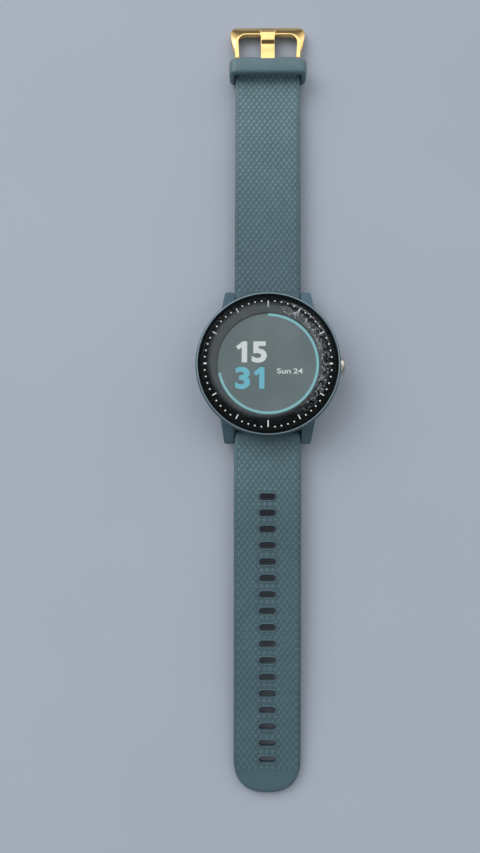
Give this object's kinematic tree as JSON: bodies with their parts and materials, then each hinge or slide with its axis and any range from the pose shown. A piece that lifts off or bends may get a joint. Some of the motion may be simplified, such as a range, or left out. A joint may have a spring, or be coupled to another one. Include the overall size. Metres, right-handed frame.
{
  "type": "golf gps watch",
  "caption": "Round GPS sports watch with a touch display, one side button, quick-release silicone straps, a keeper loop and a pin buckle.",
  "frame": {"origin": "centre of the flat sensor window on the back of the head, where the head rests", "axes": "+Z out of the display, +Y towards 12 o'clock and the buckle, +X towards the button"},
  "size_m": [0.0451, 0.2385, 0.0132],
  "materials": {
    "case_polymer": "satin moulded fibre-reinforced polymer",
    "bezel_metal": "satin coloured coating with a bright chamfer",
    "glass": "polished cover glass with a black printed border",
    "window": "dark polished sensor window",
    "display": "lit grey display",
    "black_rubber": "matt seal",
    "foam": "soft foam",
    "frame_plastic": "moulded",
    "antenna": "thin sheet",
    "circuit_board": "solder mask",
    "steel": "plain",
    "cover_plastic": "satin moulded",
    "led": "clear",
    "gold_contact": "plated",
    "gold_finish": "polished gold-coloured coating",
    "silicone": "matt silicone with a raised diamond pattern"
  },
  "bodies": {
    "case": {"case_body": "case_polymer", "bezel_ring": "bezel_metal", "lens": "glass", "lens_gasket": "black_rubber", "display_panel": "display", "display_frame": "frame_plastic", "gps_antenna": "antenna", "main_board": "circuit_board", "board_chips": "frame_plastic", "shield_can": "steel", "board_screws": "steel", "battery": "steel", "battery_foam": "foam", "motor_can": "steel", "rear_cover": "cover_plastic", "rear_gasket": "black_rubber", "cover_screws": "steel", "sensor_window": "window", "sensor_board": "circuit_board", "sensor_leds": "led", "sensor_flex": "circuit_board", "charge_contacts": "gold_contact", "contact_block": "frame_plastic", "button_spring": "steel", "switch_body": "frame_plastic"},
    "button": {"button_cap": "steel", "button_stem": "steel", "button_orings": "black_rubber", "button_clip": "steel"},
    "switch_plunger": {"switch_plunger": "led"},
    "motor_weight": {"motor_weight": "steel"},
    "short_strap": {"short_strap": "silicone", "upper_bar_tube": "steel", "upper_bar_spring": "steel"},
    "upper_release": {"upper_bar_plunger": "steel"},
    "keeper": {"keeper_loop": "silicone"},
    "buckle": {"buckle_frame": "gold_finish", "buckle_bar": "gold_finish"},
    "tongue": {"buckle_tongue": "gold_finish"},
    "long_strap": {"long_strap": "silicone", "lower_bar_tube": "steel", "lower_bar_spring": "steel"},
    "lower_release": {"lower_bar_plunger": "steel"}
  },
  "joints": [
    {"name": "short_strap_hinge", "type": "hinge", "parent": "case", "child": "short_strap", "pos_m": [0, 0.0216, 0.0041], "axis": [1, 0, 0], "range_deg": [-80, 45]},
    {"name": "long_strap_hinge", "type": "hinge", "parent": "case", "child": "long_strap", "pos_m": [0, -0.0216, 0.0041], "axis": [-1, 0, 0], "range_deg": [-80, 45]},
    {"name": "upper_release_slide", "type": "slide", "parent": "short_strap", "child": "upper_release", "axis": [-1, 0, 0], "range_m": [0, 0.0012], "stiffness_N_per_m": 400, "springref_m": -0.001, "deforming": ["upper_bar_spring"]},
    {"name": "lower_release_slide", "type": "slide", "parent": "long_strap", "child": "lower_release", "axis": [-1, 0, 0], "range_m": [0, 0.0012], "stiffness_N_per_m": 400, "springref_m": -0.001, "deforming": ["lower_bar_spring"]},
    {"name": "keeper_slide", "type": "slide", "parent": "short_strap", "child": "keeper", "axis": [0, -1, 0], "range_m": [0, 0.05]},
    {"name": "buckle_hinge", "type": "hinge", "parent": "short_strap", "child": "buckle", "pos_m": [0, 0.099, 0.003], "axis": [1, 0, 0], "range_deg": [-60, 30]},
    {"name": "tongue_hinge", "type": "hinge", "parent": "buckle", "child": "tongue", "pos_m": [0, 0.099, 0.003], "axis": [1, 0, 0], "range_deg": [0, 60]},
    {"name": "button_press", "type": "slide", "parent": "case", "child": "button", "axis": [-1, 0, 0], "range_m": [0, 0.0007], "stiffness_N_per_m": 1500, "springref_m": -0.0005, "deforming": ["button_spring"]},
    {"name": "switch_press", "type": "slide", "parent": "case", "child": "switch_plunger", "axis": [-1, 0, 0], "range_m": [0, 0.0007]},
    {"name": "motor_spin", "type": "hinge", "parent": "case", "child": "motor_weight", "pos_m": [0.0112, -0.0072, 0.0052], "axis": [0, 0, 1], "continuous": true}
  ],
  "couplings": [
    {"joint": "switch_press", "follows": "button_press", "ratio": 1}
  ]
}
